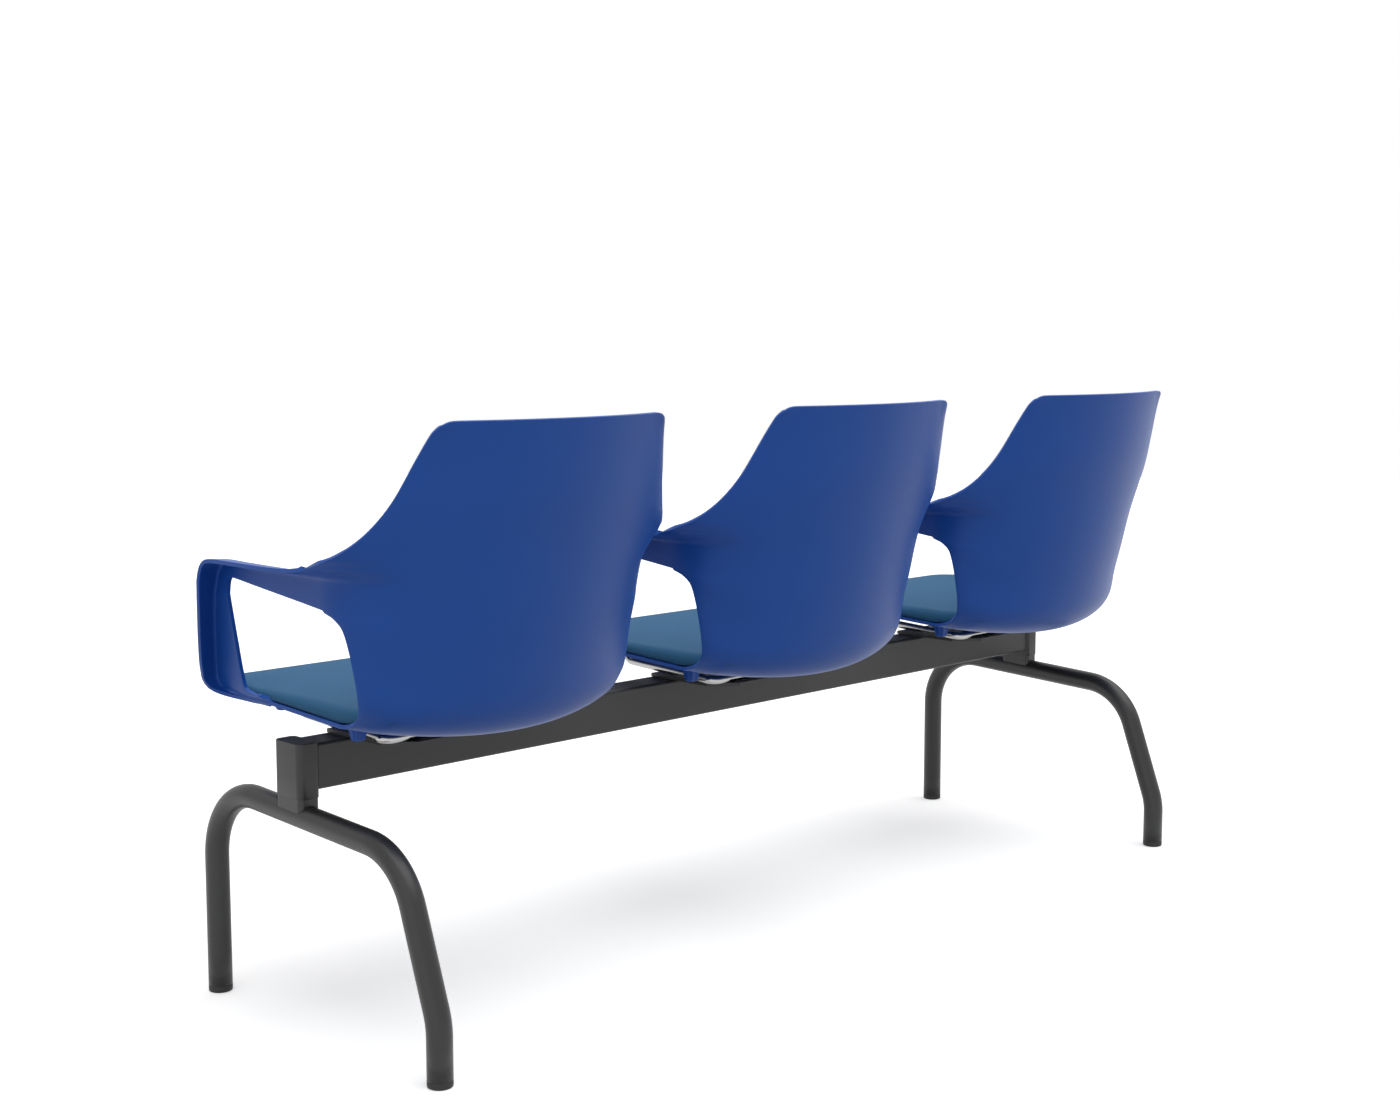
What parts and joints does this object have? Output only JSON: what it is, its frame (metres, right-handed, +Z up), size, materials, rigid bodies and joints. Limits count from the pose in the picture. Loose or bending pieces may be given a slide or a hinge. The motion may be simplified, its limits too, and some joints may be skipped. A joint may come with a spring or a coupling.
{
  "type": "beam seating",
  "caption": "Beam seating: one-piece bucket seats with loop arms and upholstered pads, in a row on a rectangular beam carried by bent-tube leg frames.",
  "frame": {"origin": "centre of the bounding box on the floor", "axes": "+Z up, the sitter faces -Y, +X along the beam to the sitter's left"},
  "size_m": [1.7032, 0.54, 0.7861],
  "materials": {
    "shell_plastic": "satin, fine grain",
    "pad_fabric": "woven",
    "pad_board": "raw plywood",
    "rod_steel": "polished",
    "plate_steel": "fine texture powder coat",
    "frame_steel": "fine texture powder coat",
    "leg_steel": "satin powder coat",
    "cap_plastic": "fine texture",
    "glide_plastic": "matt",
    "spacer_rubber": "matt",
    "fastener_steel": "zinc plated"
  },
  "bodies": {
    "root": {"beam_end_screws_left": "fastener_steel", "beam_end_screws_right": "fastener_steel", "beam_tube": "frame_steel", "carrier_plate_1": "plate_steel", "carrier_plate_2": "plate_steel", "carrier_plate_3": "plate_steel", "foot_glide_front_left": "glide_plastic", "foot_glide_front_right": "glide_plastic", "foot_glide_rear_left": "glide_plastic", "foot_glide_rear_right": "glide_plastic", "leg_frame_left": "leg_steel", "leg_frame_right": "leg_steel", "leg_post_left": "frame_steel", "leg_post_right": "frame_steel", "pad_board_1": "pad_board", "pad_board_2": "pad_board", "pad_board_3": "pad_board", "plate_bolts_1": "fastener_steel", "plate_bolts_2": "fastener_steel", "plate_bolts_3": "fastener_steel", "post_cap_left": "cap_plastic", "post_cap_right": "cap_plastic", "rod_frame_1": "rod_steel", "rod_frame_2": "rod_steel", "rod_frame_3": "rod_steel", "seat_pad_1": "pad_fabric", "seat_pad_2": "pad_fabric", "seat_pad_3": "pad_fabric", "seat_shell_1": "shell_plastic", "seat_shell_2": "shell_plastic", "seat_shell_3": "shell_plastic", "seat_spacers_1": "spacer_rubber", "seat_spacers_2": "spacer_rubber", "seat_spacers_3": "spacer_rubber", "shell_screws_1": "fastener_steel", "shell_screws_2": "fastener_steel", "shell_screws_3": "fastener_steel"}
  },
  "joints": []
}
